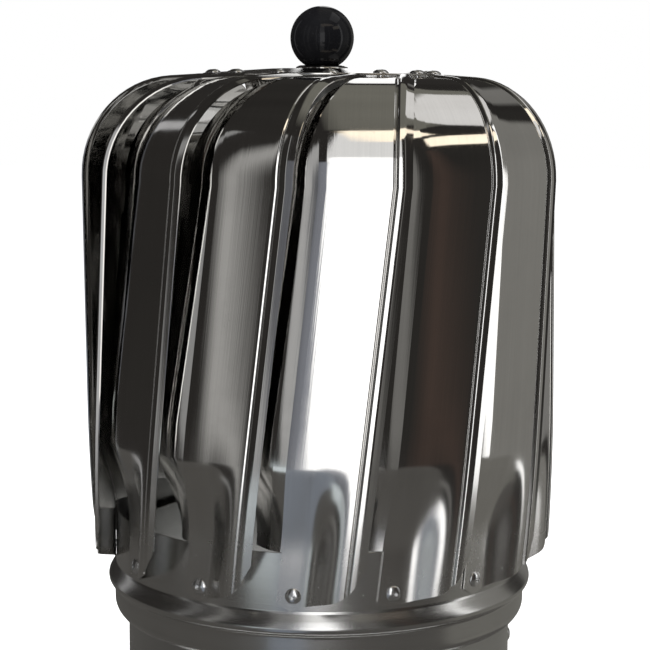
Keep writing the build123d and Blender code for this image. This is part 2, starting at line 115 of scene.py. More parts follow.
# the node tree of one material, or of the world when it is handed in
class Finish:
    def __init__(self, name, owner=None):
        self.material = owner or bpy.data.materials.new(name)
        self.material.use_nodes = True
        self.tree = self.material.node_tree
        self.tree.nodes.clear()

    def node(self, kind, settings=None, sockets=None):
        made = self.tree.nodes.new(kind)
        for key, value in (settings or {}).items():
            if key == "stops":
                stops = made.color_ramp.elements
                while len(stops) < len(value):
                    stops.new(0.5)
                for stop, (spot, grey) in zip(stops, value):
                    stop.position, stop.color = spot, (grey, grey, grey, 1)
            else:
                setattr(made, key, value)
        for key, value in (sockets or {}).items():
            if isinstance(value, Signal):
                self.tree.links.new(value.socket, made.inputs[key])
            else:
                made.inputs[key].default_value = value
        return made

    def read(self, made, output=0):
        return Signal(self, made.outputs[output])

    def objectPlace(self):
        return self.read(self.node("ShaderNodeTexCoord"), "Object")

    def sheetPlace(self):
        return self.read(self.node("ShaderNodeUVMap", {"uv_map": "sheet"}))

    def stretched(self, place, scale):
        return self.read(self.node("ShaderNodeMapping", None, {"Vector": place, "Scale": scale}))

    def noise(self, place, scale, detail=3.0, roughness=0.5):
        sockets = {"Vector": place, "Scale": scale, "Detail": detail, "Roughness": roughness}
        return self.read(self.node("ShaderNodeTexNoise", None, sockets))

    def part(self, place, axis):
        return self.read(self.node("ShaderNodeSeparateXYZ", None, {"Vector": place}), axis)

    def ramp(self, value, stops):
        return self.read(self.node("ShaderNodeValToRGB", {"stops": stops}, {"Fac": value}))

    def blended(self, mask, first, second):
        sockets = {0: mask, 6: first, 7: second}
        return self.read(self.node("ShaderNodeMix", {"data_type": "RGBA"}, sockets), 2)

    def bumped(self, height, distance, strength, under=None):
        sockets = {"Height": height, "Distance": distance, "Strength": strength}
        if under is not None:
            sockets["Normal"] = under
        return self.read(self.node("ShaderNodeBump", None, sockets))

    def surface(self, sockets):
        return self.finished(self.read(self.node("ShaderNodeBsdfPrincipled", None, sockets)))

    def glowing(self, colour, strength=1.0):
        return self.read(self.node("ShaderNodeEmission", None, {"Color": colour, "Strength": strength}))

    def finished(self, shader):
        self.node("ShaderNodeOutputMaterial", None, {"Surface": shader})
        return self.material


def shade(tone, share):
    return tuple(min(1.0, part * share) for part in tone) + (1,)


sheetLook = {
    "fineShare": 0.6, "broadShare": 0.4, "broadScale": 0.1, "smudged": 0.5, "spotted": 0.4, "tint": 0.4,
    "waveLines": (14.0, 5.0, 14.0), "wave": 0.0016, "waveStrength": 0.1, "scratch": 0.00003,
    "grainRoughness": 0.05, "wornRoughness": 0.09, "footFrom": 0.15, "footTo": 0.225, "footRoughness": 0.2,
}


# bright rolled sheet: fine lines along the rolling, soft waves, smudges and a few dull spots
def sheetMetal(name, tone, roughness, lines, onSheet=False):
    look = sheetLook
    finish = Finish(name)
    place = finish.sheetPlace() if onSheet else finish.objectPlace()
    fine = finish.noise(finish.stretched(place, lines), 1.0, 4.0, 0.62)
    broadLines = tuple(part * look["broadScale"] for part in lines)
    broad = finish.noise(finish.stretched(place, broadLines), 1.0, 2.0)
    smudge = finish.ramp(finish.noise(place, 24.0, 5.0, 0.62), [(0.47, 0.0), (0.74, 1.0)])
    spots = finish.ramp(finish.noise(place, 380.0, 2.0), [(0.70, 0.0), (0.78, 1.0)])
    grain = (fine - 0.5) * look["fineShare"] + (broad - 0.5) * look["broadShare"]
    worn = smudge * look["smudged"] + spots * look["spotted"]
    bright = finish.blended(grain * 2.0 + 0.5, shade(tone, 0.93), shade(tone, 1.05))
    colour = finish.blended(worn * look["tint"], bright, shade(tone, 0.72))
    swell = finish.noise(finish.stretched(place, look["waveLines"]), 1.0, 1.0)
    waves = finish.bumped(swell, look["wave"], look["waveStrength"])
    scratched = finish.bumped(fine, look["scratch"], 0.3, waves)
    rough = grain * look["grainRoughness"] + worn * look["wornRoughness"] + roughness
    if onSheet:  # the bent foot is duller than the face above it
        stops = [(look["footFrom"], look["footRoughness"]), (look["footTo"], 0.0)]
        rough = rough + finish.ramp(finish.part(finish.objectPlace(), "Z"), stops)
    return finish.surface({"Base Color": colour, "Metallic": 1.0, "Roughness": rough, "Normal": scratched})


# turned, plated or cast metal of the small parts
def partMetal(name, tone, roughness, lines, grime=0.4, grit=900.0):
    finish = Finish(name)
    place = finish.objectPlace()
    tool = finish.noise(finish.stretched(place, lines), 1.0, 3.0)
    speck = finish.noise(place, grit, 3.0, 0.6)
    dull = finish.ramp(finish.noise(place, 60.0, 4.0), [(0.42, 0.0), (0.7, 1.0)]) * grime
    cut = finish.blended(tool * 0.7 + speck * 0.3, shade(tone, 0.85), shade(tone, 1.1))
    colour = finish.blended(dull, cut, shade(tone, 0.6))
    relief = finish.bumped(tool + speck * 0.5, 0.00006, 0.4)
    rough = (tool - 0.5) * 0.12 + dull * 0.15 + roughness
    return finish.surface({"Base Color": colour, "Metallic": 1.0, "Roughness": rough, "Normal": relief})


# black moulded plastic with a polished skin, faint swirls and a little dust
def knobPlastic():
    finish = Finish("knobPlastic")
    place = finish.objectPlace()
    swirl = finish.noise(finish.stretched(place, (160.0, 160.0, 900.0)), 1.0, 4.0, 0.6)
    dust = finish.ramp(finish.noise(place, 700.0, 2.0), [(0.68, 0.0), (0.8, 1.0)])
    haze = finish.ramp(finish.noise(place, 45.0, 3.0), [(0.4, 0.0), (0.75, 1.0)])
    colour = finish.blended(dust * 0.25 + haze * 0.1, (0.006, 0.006, 0.007, 1), (0.05, 0.05, 0.052, 1))
    rough = haze * 0.06 + dust * 0.2 + swirl * 0.03 + 0.05
    relief = finish.bumped(swirl, 0.00003, 0.25)
    return finish.surface(
        {"Base Color": colour, "Roughness": rough, "Normal": relief, "Specular IOR Level": 0.16}
    )


steelTone = (0.66, 0.65, 0.63)
finishes = {
    "vane_sheet": sheetMetal("vaneSteel", steelTone, 0.055, (900.0, 7.0, 1.0), True),
    "ring_sheet": sheetMetal("ringSteel", (0.62, 0.615, 0.6), 0.22, (9.0, 9.0, 1100.0)),
    "plate_sheet": sheetMetal("plateSteel", steelTone, 0.12, (260.0, 8.0, 260.0)),
    "spigot_sheet": sheetMetal("spigotSteel", (0.6, 0.6, 0.59), 0.24, (9.0, 9.0, 900.0)),
    "rivet_metal": partMetal("rivetAluminium", (0.8, 0.8, 0.8), 0.2, (700.0, 700.0, 700.0), 0.3),
    "bar_steel": partMetal("barSteel", (0.42, 0.42, 0.41), 0.42, (90.0, 90.0, 500.0)),
    "spindle_steel": partMetal("turnedSteel", (0.6, 0.59, 0.57), 0.22, (30.0, 30.0, 2600.0)),
    "bearing_steel": partMetal("bearingSteel", (0.66, 0.66, 0.66), 0.16, (60.0, 60.0, 1800.0), 0.2),
    "housing_metal": partMetal("castAlloy", (0.5, 0.5, 0.5), 0.45, (240.0, 240.0, 240.0), 0.5, 600.0),
    "zinc_hardware": partMetal("zincPlate", (0.62, 0.63, 0.62), 0.3, (300.0, 300.0, 1200.0)),
    "knob_plastic": knobPlastic(),
}
slotOf = {part["node"]: part["material_slot"] for part in frame["record"]["subparts"]}
for nodeName, carried in frame["nodes"].items():
    carried.data.materials.clear()
    carried.data.materials.append(finishes[slotOf[nodeName]])
print("finishes made for", len(slotOf), "nodes")


# a piece lies in the row frame, in metres, and takes the finish of its slot
def piece(name, bm, body, slotName, nodes, smoothBelow=35.0):
    bmesh.ops.scale(bm, vec=(mm, mm, mm), verts=bm.verts)
    shape = bpy.data.meshes.new(name)
    bm.to_mesh(shape)
    bm.free()
    pieceOf(name, shape, body, slotName, nodes, smoothBelow)


def pieceOf(name, shape, body, slotName, nodes, smoothBelow=35.0):
    for face in shape.polygons:
        face.use_smooth = True
    shape.set_sharp_from_angle(angle=radians(smoothBelow))
    made = bpy.data.objects.new(name, shape)
    bpy.context.scene.collection.objects.link(made)
    level = made.modifiers.new("flatFaces", "WEIGHTED_NORMAL")
    level.keep_sharp = True
    shape.materials.append(finishes[slotName])
    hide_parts(*nodes)
    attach(made, body)


def onlyEdges(geom):
    return [item for item in geom if isinstance(item, bmesh.types.BMEdge)]


def onlyFaces(geom):
    return [item for item in geom if isinstance(item, bmesh.types.BMFace)]


def pointed(normal, way):
    return normal if normal.dot(way) > 0 else -normal


# the verts of some edges, each once, always in the same order
def vertsOf(edges):
    return list(dict.fromkeys(vert for edge in edges for vert in edge.verts))


def withVertsAndEdges(faces):
    edges = list(dict.fromkeys(edge for face in faces for edge in face.edges))
    return vertsOf(edges) + edges + faces


# a chain of corners, each (point, rounding), with its corners rounded
def roundedChain(bm, corners, closed=False, segments=4):
    verts = [bm.verts.new(point) for point, rounding in corners]
    pairs = list(zip(verts, verts[1:])) + ([(verts[-1], verts[0])] if closed else [])
    for first, second in pairs:
        bm.edges.new((first, second))
    for vert, (point, rounding) in zip(verts, corners):
        if rounding:
            bmesh.ops.bevel(
                bm, geom=[vert], offset=rounding, offset_type="OFFSET", segments=segments,
                profile=0.5, affect="VERTICES", material=-1,
            )
    return bm


# a body turned from a section of (radius, level, rounding) corners
def turned(corners, steps, segments=4, closed=True):
    chain = [((radius, 0, level), rounding) for radius, level, rounding in corners]
    bm = roundedChain(bmesh.new(), chain, closed, segments)
    bmesh.ops.spin(
        bm, geom=bm.verts[:] + bm.edges[:], cent=(0, 0, 0), axis=(0, 0, 1), angle=2 * pi, steps=steps,
        use_merge=True, use_duplicate=False,
    )
    bmesh.ops.remove_doubles(bm, verts=bm.verts, dist=0.0005)
    bmesh.ops.recalc_face_normals(bm, faces=bm.faces)
    return bm


# ---- vanes ----
vane = {
    "count": 14, "sheet": 0.8, "radius": 150.0, "firstAzimuth": -6.5, "edgeLead": 15.5, "lean": 6.5,
    "faceTurn": 17.5, "ringLevel": 110.0, "shoulderLevel": 356.8, "shoulderRadius": 60.0, "plateSlope": 4.0,
    "plateRadius": 75.0, "topWidthAngle": 25.0, "topRadius": 62.0, "topRivetInset": 5.2,
    "topRivetRadius": 70.5,
    "width": 74.0, "tabEdge": -51.5, "lapEndSide": 17.8, "lapEndForward": 100.0, "tipSide": 0.4,
    "tabRadius": 132.8, "rivetLevel": 119.9, "rivetInset": 11.3, "tabFlat": 16.0, "faceFlat": 2.5,
    "bottom": 110.9, "spare": 6.0, "footTop": 146.0, "footEnd": 208.0, "pull": 3.0, "pullStart": 215.0,
    "pullEnd": 122.0, "pullLimit": 1.15, "besideTop": 158.0, "steps": 16, "sheetShift": (0.31, 0.57),
}
# how finely the sheet is divided: wide strips across, and rises from the foot upwards
vaneRows = {
    "wide": 20, "cuts": 12, "low": 4.0, "lowCount": 10, "middle": 6.0, "middleCount": 9, "highCount": 8,
}
# section above the foot: distance from the hem's corner, height of the sheet, corner rounding
section = {
    "inner": (-74.0, -5.0, 0), "curl": (-66.0, -2.2, 6.0), "lap": (-58.5, -0.4, 6.0),
    "tabEdge": (-51.5, 0.6, 3.5), "faceStart": (-43.0, 1.0, 6.0), "crease": (-10.8, 1.0, 0.4),
    "beadStart": (-9.8, 0.2, 0.4), "beadLow": (-8.2, 2.3, 0.8), "beadHigh": (-4.6, 2.0, 0.9),
    "hem": (0.0, 0.4, 0),
}
# the bend into the riveting tab, and the lap beside it
footBend = {"reach": 0.36, "steps": 12, "lapAside": 7.0, "lapIn": 4.5, "endAside": 8.0, "endIn": 11.0}
# the foot's cut: a chamfer inside, a rising edge, then a turn up to the hem
footCut = {
    "corner": (-1.8, 110.9), "chamfer": (-13.5, 7.6), "rise": 18.0, "turnStart": (23.2, 119.02),
    "turnEnd": 63.0, "chord": 2.95, "turnSteps": 7,
}
# over the shoulder the bead ends a little outside the plate's rim
rim = {"start": 1.0, "end": 4.0, "endSide": 5.0}

leaning = tan(radians(vane["lean"]))
sideHeight = vane["shoulderLevel"] - vane["ringLevel"]
sideMiddle = vane["ringLevel"] + sideHeight / 2
edgeAzimuth = vane["firstAzimuth"] + vane["edgeLead"] + degrees(leaning * sideHeight / 2 / vane["radius"])
faceAzimuth = edgeAzimuth - vane["faceTurn"]
acrossWay, faceWay = along(faceAzimuth), outward(faceAzimuth)
stripWay = along(edgeAzimuth) * leaning + up(1)


def edgePoint(level):
    return outward(edgeAzimuth, vane["radius"]) + up(sideMiddle) + stripWay * (level - sideMiddle)


shoulderEdge = edgePoint(vane["shoulderLevel"])
hemSide, shoulderForward = shoulderEdge.dot(acrossWay), shoulderEdge.dot(faceWay)
innerAngle = degrees(asin(hemSide / vane["plateRadius"])) - vane["topWidthAngle"]
innerSide = vane["plateRadius"] * sin(radians(innerAngle))
rivetSide = innerSide + vane["topRivetInset"]
topSlope = radians(vane["plateSlope"]) * cos(asin(rivetSide / vane["topRivetRadius"]))
shoulderBend = pi / 2 - topSlope
bendCentre = shoulderEdge - faceWay * vane["shoulderRadius"]
bendForward = bendCentre.dot(faceWay) + vane["shoulderRadius"] * sin(topSlope)


# the section goes up the side, bends over the shoulder and runs in under the plate
def raiseSheet(bm):
    v, rows = vane, vaneRows
    start = v["bottom"] - v["spare"]
    first = edgePoint(start)
    corners = [(first + acrossWay * x + faceWay * y, rounding) for x, y, rounding in section.values()]
    roundedChain(bm, corners, segments=3)
    wide = [edge for edge in bm.edges if edge.calc_length() > rows["wide"]]
    bmesh.ops.subdivide_edges(bm, edges=wide, cuts=rows["cuts"])
    row = bm.edges[:]
    rises = [rows["low"]] * rows["lowCount"] + [rows["middle"]] * rows["middleCount"]
    rises += [(v["shoulderLevel"] - start - sum(rises)) / rows["highCount"]] * rows["highCount"]
    for rise in rises:
        row = onlyEdges(bmesh.ops.extrude_edge_only(bm, edges=row)["geom"])
        bmesh.ops.translate(bm, verts=vertsOf(row), vec=stripWay * rise)
    row += vertsOf(row)
    made = bmesh.ops.spin(
        bm, geom=row, cent=bendCentre, axis=acrossWay, angle=-shoulderBend, steps=v["steps"],
        use_duplicate=False,
    )
    run = (bendForward - sqrt(v["topRadius"] ** 2 - rivetSide**2)) / cos(topSlope)
    row = onlyEdges(bmesh.ops.extrude_edge_only(bm, edges=onlyEdges(made["geom_last"]))["geom"])
    ahead = up(sin(topSlope)) - faceWay * cos(topSlope)
    bmesh.ops.translate(bm, verts=vertsOf(row), vec=ahead * run)


# where a point lies on the flat sheet: across from the hem, and up along the sheet
def flatPlace(spot):
    height = spot.z
    if height <= vane["shoulderLevel"]:
        return Vector(((spot - edgePoint(height)).dot(acrossWay), height, 0))
    arm = spot - bendCentre
    turn = pi / 2 - Vector((arm.dot(faceWay), arm.z)).angle(Vector((0, 1)))
    turn = min(shoulderBend, max(0.0, turn))
    height = vane["shoulderLevel"] + turn * vane["shoulderRadius"]
    if turn >= shoulderBend - 0.001:
        height += max(0.0, bendForward - spot.dot(faceWay))
    return Vector(((spot - shoulderEdge).dot(acrossWay), height, 0))


# the foot comes a little nearer the ring
def pulled(level):
    share = max(0.0, (vane["pullStart"] - level) / (vane["pullStart"] - vane["pullEnd"]))
    return -vane["pull"] * min(vane["pullLimit"], share) ** 2


# the foot's section: from the crease in a soft bend down to the tab on the ring, then the lap
def footCurve(level):
    v, bend = vane, footBend
    seatAzimuth = v["firstAzimuth"] + degrees(leaning * (level - v["rivetLevel"]) / v["tabRadius"])
    seat = outward(seatAzimuth, v["tabRadius"]) + up(level) - edgePoint(level)
    tangent = along(seatAzimuth)
    way = Vector((tangent.dot(acrossWay), tangent.dot(faceWay)))
    inner = Vector((seat.dot(acrossWay), seat.dot(faceWay))) - way * v["rivetInset"]
    crease = Vector((section["crease"][0], section["crease"][1] + pulled(level)))
    tabEnd, faceStart = inner + way * v["tabFlat"], crease - Vector((v["faceFlat"], 0))
    reach = bend["reach"] * (faceStart - tabEnd).length
    curve = [crease, faceStart]
    for step in range(1, bend["steps"] + 1):
        t = step / bend["steps"]
        first = faceStart * (1 - t) ** 3 + (faceStart - Vector((reach, 0))) * (3 * t * (1 - t) ** 2)
        curve.append(first + (tabEnd + way * reach) * (3 * t * t * (1 - t)) + tabEnd * t**3)
    inward = Vector((way.y, -way.x))
    lap = inner - way * bend["lapAside"] + inward * bend["lapIn"]
    return [*curve, inner, lap, lap - way * bend["endAside"] + inward * bend["endIn"]]


def pointOn(curve, share):
    spans = [(b - a).length for a, b in zip(curve, curve[1:])]
    left = share * sum(spans)
    for a, b, length in zip(curve, curve[1:], spans):
        if left <= length or b is curve[-1]:
            return a.lerp(b, min(1.0, left / length))
        left -= length


# towards the foot the face leaves its plane and lies down on the ring
def layFoot(bm, placeLayer):
    v = vane
    creaseX = section["crease"][0]
    span = creaseX - section["inner"][0]
    for vert in bm.verts:
        level = vert.co.z
        x = vert[placeLayer].x
        vert.co += faceWay * pulled(level)
        if level < v["footEnd"] and x < creaseX - 0.6:
            weight = min(1.0, (v["footEnd"] - level) / (v["footEnd"] - v["footTop"]))
            weight = weight * weight * (3 - 2 * weight)
            spot = pointOn(footCurve(level), min(1.0, (creaseX - x) / span))
            target = edgePoint(level) + acrossWay * spot.x + faceWay * spot.y
            vert.co = vert.co.lerp(target, weight)


# beside the tab the sheet stops at the ring's top edge
def cutBesideTab(bm, placeLayer):
    v = vane
    beside = [f for f in bm.faces if max(vert[placeLayer].x for vert in f.verts) < v["tabEdge"] + 0.01]
    beside = [f for f in beside if f.calc_center_median().z < v["besideTop"]]
    geom = withVertsAndEdges(beside)
    made = bmesh.ops.bisect_plane(bm, geom=geom, plane_co=up(v["footTop"]), plane_no=up(1))
    low = [f for f in onlyFaces(made["geom"]) if f.is_valid and f.calc_center_median().z < v["footTop"]]
    bmesh.ops.delete(bm, geom=low, context="FACES")


def cutFoot(bm):
    cut = footCut
    footWay = along(vane["firstAzimuth"])
    rise = Vector((1, tan(radians(cut["rise"]))))
    cuts = [(Vector(cut["corner"]), -Vector(cut["chamfer"])), (Vector(cut["corner"]), rise)]
    spot = Vector(cut["turnStart"])
    for step in range(cut["turnSteps"]):
        angle = radians(cut["rise"] + (cut["turnEnd"] - cut["rise"]) * (step + 0.5) / cut["turnSteps"])
        way = Vector((cos(angle), sin(angle)))
        cuts.append((spot, way))
        spot = spot + way * cut["chord"]
    for (x, z), way in cuts:
        bmesh.ops.bisect_plane(
            bm, geom=bm.verts[:] + bm.edges[:] + bm.faces[:], plane_co=footWay * x + up(z),
            plane_no=footWay * way.y - up(way.x), clear_outer=True,
        )


def overShoulder(bm):
    return [f for f in bm.faces if f.calc_center_median().z > vane["shoulderLevel"] - 0.01]


def planSpot(side, forward):
    return acrossWay * side + faceWay * forward


# over the shoulder the inner side tapers to the tab: first in under the next hem, then beside it
def taperInside(bm):
    v = vane
    tip = planSpot(innerSide + v["tipSide"], v["plateRadius"] * cos(radians(innerAngle)))
    kink = planSpot(v["lapEndSide"], v["lapEndForward"])
    start = planSpot(hemSide - v["width"], shoulderForward)
    bmesh.ops.bisect_plane(bm, geom=withVertsAndEdges(overShoulder(bm)), plane_co=kink, plane_no=faceWay)
    for near, far, ahead in ((start, kink, True), (kink, tip, False)):
        faces = overShoulder(bm)
        faces = [f for f in faces if (f.calc_center_median().dot(faceWay) > v["lapEndForward"]) == ahead]
        taper = pointed(up(1).cross(far - near), -acrossWay)
        bmesh.ops.bisect_plane(
            bm, geom=withVertsAndEdges(faces), plane_co=near, plane_no=taper, clear_outer=True
        )


def endBead(bm):
    plateRadius = vane["plateRadius"]
    side = hemSide + section["crease"][0]
    geom = withVertsAndEdges(overShoulder(bm))
    bmesh.ops.bisect_plane(bm, geom=geom, plane_co=planSpot(side, 0), plane_no=acrossWay)
    start = planSpot(side, sqrt((plateRadius + rim["start"]) ** 2 - side**2))
    end = planSpot(hemSide + rim["endSide"], sqrt((plateRadius + rim["end"]) ** 2 - hemSide**2))
    bead = [f for f in overShoulder(bm) if f.calc_center_median().dot(acrossWay) > side]
    inwards = pointed((end - start).cross(up(1)), -faceWay)
    bmesh.ops.bisect_plane(
        bm, geom=withVertsAndEdges(bead), plane_co=start, plane_no=inwards, clear_outer=True
    )


def buildVane():
    bm = bmesh.new()
    raiseSheet(bm)
    placeLayer = bm.verts.layers.float_vector.new("flatPlace")
    for vert in bm.verts:
        vert[placeLayer] = flatPlace(vert.co)
    layFoot(bm, placeLayer)
    cutBesideTab(bm, placeLayer)
    cutFoot(bm)
    taperInside(bm)
    endBead(bm)
    # the sheet gets its thickness inward
    bmesh.ops.recalc_face_normals(bm, faces=bm.faces)
    middle = max(bm.faces, key=lambda face: face.calc_area())
    if middle.normal.dot(faceWay) < 0:
        bmesh.ops.reverse_faces(bm, faces=bm.faces[:])
    bmesh.ops.solidify(bm, geom=bm.faces[:], thickness=vane["sheet"])
    # the rolling lines and smudges lie on the flat sheet
    uv = bm.loops.layers.uv.new("sheet")
    for face in bm.faces:
        for loop in face.loops:
            loop[uv].uv = loop.vert[placeLayer].xy * mm
    bm.verts.layers.float_vector.remove(placeLayer)
    return bm


vaneMesh = bpy.data.meshes.new("vane")
vaneShape = buildVane()
bmesh.ops.scale(vaneShape, vec=(mm, mm, mm), verts=vaneShape.verts)
vaneShape.to_mesh(vaneMesh)
vaneShape.free()
for number in range(vane["count"]):
    copy = vaneMesh.copy()
    copy.transform(Matrix.Rotation(radians(number * 360 / vane["count"]), 4, "Z"))
    for loop in copy.uv_layers["sheet"].data:  # each vane is cut from another place of the sheet
        loop.uv += Vector(vane["sheetShift"]) * number
    name = f"vane_{number + 1:02d}"
    pieceOf(name + "_sheet", copy, "rotor", "vane_sheet", [name])
bpy.data.meshes.remove(vaneMesh)
print("vanes formed")

# ---- rotor ring: a band for the vane feet, a rolled groove and bead, a skirt with its lip turned in ----
ring = {
    "band": 131.8, "wall": 1.0, "top": 145.3, "bandFoot": 110.0, "groove": 135.2, "grooveLevel": 104.0,
    "bead": 136.8, "beadLevel": 100.0, "skirt": 132.65, "skirtTop": 95.2, "skirtFoot": 82.2, "lip": 125.6,
    "lipLevel": 76.9, "lipRise": 0.6, "lipStart": 130.0, "steps": 192,
}


def buildRing():
    r = ring
    outside = [
        (r["band"], r["top"], 0.3), (r["band"], r["bandFoot"] - 0.4, 1.0),
        (r["groove"], r["grooveLevel"] + 0.6, 1.2), (r["bead"], r["beadLevel"] + 1.6, 1.2),
        (r["bead"] - 0.4, r["beadLevel"] - 1.6, 1.4), (r["skirt"] + 0.2, r["skirtTop"] + 0.3, 1.6),
        (r["skirt"], r["skirtFoot"], 2.6), (r["lip"] + 3.4, r["lipLevel"] + 0.6, 1.2),
    ]
    # the inner side follows the outer one, and rises at the lip, which is turned in
    inside = [
        (radius - r["wall"], level + (r["lipRise"] if radius < r["lipStart"] else 0.0), rounding)
        for radius, level, rounding in outside
    ]
    tip = [(r["lip"] + 0.1, r["lipLevel"] + rise, 0.2) for rise in (0.1, r["wall"])]
    return turned(outside + tip + list(reversed(inside)), r["steps"])


piece("rotorRing_sheet", buildRing(), "rotor", "ring_sheet", ["rotor_ring"])

# ---- spigot: rolled sheet pushed into the flue, with a stop bead ----
spigot = {"radius": 124.0, "wall": 1.0, "length": 126.0, "bead": 38.0, "beadRadius": 2.6, "steps": 192}


def buildSpigot():
    s = spigot
    low, high = s["bead"] - s["beadRadius"], s["bead"] + s["beadRadius"]
    outside = [
        (s["radius"], 0.0, 0.3), (s["radius"], low, 1.2), (s["radius"] + s["beadRadius"], low + 0.9, 1.3),
        (s["radius"] + s["beadRadius"], high - 0.9, 1.3), (s["radius"], high, 1.2),
        (s["radius"], s["length"], 0.3),
    ]
    inside = [(s["radius"] - s["wall"], s["length"], 0.3), (s["radius"] - s["wall"], 0.0, 0.3)]
    return turned(outside + inside, s["steps"])


piece("baseSpigot_sheet", buildSpigot(), "base", "spigot_sheet", ["base_spigot"])

# ---- top plate and the knob's washer ----
plate = {
    "radius": 75.0, "flat": 30.0, "thickness": 1.2, "under": 422.54, "rimUnder": 419.39, "bore": 5.15,
    "steps": 128,
}


def buildPlate():
    p = plate
    top, rimTop = p["under"] + p["thickness"], p["rimUnder"] + p["thickness"]
    outline = [
        (p["bore"], p["under"], 0.2), (p["flat"], p["under"], 4.0), (p["radius"], p["rimUnder"], 0.4),
        (p["radius"], rimTop, 0.4), (p["flat"], top, 4.0), (p["bore"], top, 0.2),
    ]
    return turned(outline, p["steps"])


piece("topPlate_sheet", buildPlate(), "rotor", "plate_sheet", ["top_plate"])

washer = {"bore": 5.15, "radius": 16.5, "topRadius": 14.0, "under": 423.74, "height": 2.0, "steps": 96}


def buildWasher():
    w = washer
    high = w["under"] + w["height"]
    outline = [
        (w["bore"], w["under"], 0.1), (w["radius"], w["under"], 0.3),
        (w["radius"] - 0.2, w["under"] + 0.9, 0.4), (w["topRadius"], high, 0.7), (w["bore"], high, 0.2),
    ]
    return turned(outline, w["steps"])


piece("knobWasher_disc", buildWasher(), "rotor", "plate_sheet", ["knob_washer"])

# ---- ball knob: a moulded ball with a flat foot bored for its stud ----
knob = {
    "radius": 20.0, "centre": 442.74, "foot": 425.74, "bore": 5.05, "boreDepth": 15.0, "chamfer": 1.0,
    "rings": 40, "steps": 96,
}


def buildKnob():
    k = knob
    bm = bmesh.new()
    centre = up(k["centre"])
    top = bm.verts.new((0, 0, k["centre"] + k["radius"]))
    footAngle = asin((k["centre"] - k["foot"]) / k["radius"])
    bmesh.ops.spin(
        bm, geom=[top], cent=centre, axis=(0, 1, 0), angle=pi / 2 + footAngle, steps=k["rings"],
        use_duplicate=False,
    )
    bm.verts.ensure_lookup_table()
    last = min(bm.verts, key=lambda vert: vert.co.z)
    boreEnd = k["foot"] + k["boreDepth"]
    spots = [(k["bore"] + k["chamfer"], k["foot"]), (k["bore"], k["foot"] + k["chamfer"])]
    for radius, level in [*spots, (k["bore"], boreEnd), (0, boreEnd)]:
        following = bm.verts.new((radius, 0, level))
        bm.edges.new((last, following))
        last = following
    bmesh.ops.spin(
        bm, geom=bm.verts[:] + bm.edges[:], cent=(0, 0, 0), axis=(0, 0, 1), angle=2 * pi, steps=k["steps"],
        use_merge=True, use_duplicate=False,
    )
    bmesh.ops.remove_doubles(bm, verts=bm.verts, dist=0.001)
    bmesh.ops.recalc_face_normals(bm, faces=bm.faces)
    return bm


piece("ballKnob_ball", buildKnob(), "rotor", "knob_plastic", ["ball_knob"])
print("turned pieces formed")

# ---- blind rivets: a domed head round the open mandrel hole, and a spread tail behind ----
rivet = {
    "head": 4.75, "headHeight": 1.9, "hole": 1.45, "holeDepth": 1.5, "mandrel": 0.7, "mandrelRise": 0.35,
    "crown": 1.3, "rim": 0.5, "lift": 0.05, "shank": 2.4, "tail": 3.4, "tailLength": 1.6, "steps": 20,
}


def addRivet(bm, origin, facing, grip):
    r = rivet
    holeEnd, tailEnd = r["headHeight"] - r["holeDepth"], -grip - r["tailLength"]
    outline = [
        (0, holeEnd + r["mandrelRise"], 0), (r["mandrel"], holeEnd, 0.2), (r["hole"], holeEnd, 0.1),
        (r["hole"], r["headHeight"], 0.25), (r["hole"] + r["crown"], r["headHeight"], 1.0),
        (r["head"], r["rim"], 0.35), (r["head"], r["lift"], 0), (r["shank"], r["lift"], 0),
        (r["shank"], -grip, 0), (r["tail"], -grip - 0.1, 0.3), (r["tail"], tailEnd + 0.1, 0.6),
        (0, tailEnd, 0),
    ]
    part = turned(outline, r["steps"], segments=2, closed=False)
    turn = facing.to_track_quat("Z", "Y").to_matrix().to_4x4()
    bmesh.ops.transform(part, matrix=Matrix.Translation(origin) @ turn, verts=part.verts)
    shape = bpy.data.meshes.new("rivet")
    part.to_mesh(shape)
    part.free()
    bm.from_mesh(shape)
    bpy.data.meshes.remove(shape)


rivetSets = {
    # body, node, count, first azimuth, radius, level, slope of the sheet from level or none, grip
    "bandRivets_heads": ("rotor", "band_rivets", 14, -6.5, 132.8, 119.9, 0.0, 2.05),
    "topRivets_heads": ("rotor", "top_rivets", 14, 29.88, 70.5, 420.91, 4.0, 2.7),
    "armRivets_heads": ("base", "arm_rivets", 3, 90.0, 124.0, 56.0, 0.0, 4.1),
}
for name, (body, nodeName, count, azimuth, radius, level, slope, grip) in rivetSets.items():
    bm = bmesh.new()
    for number in range(count):
        spot = azimuth + number * 360 / count
        facing = outward(spot, sin(radians(slope))) + up(cos(radians(slope))) if slope else outward(spot)
        addRivet(bm, outward(spot, radius) + up(level), facing.normalized(), grip)
    piece(name, bm, body, "rivet_metal", [nodeName], 50.0)
print("rivets set")

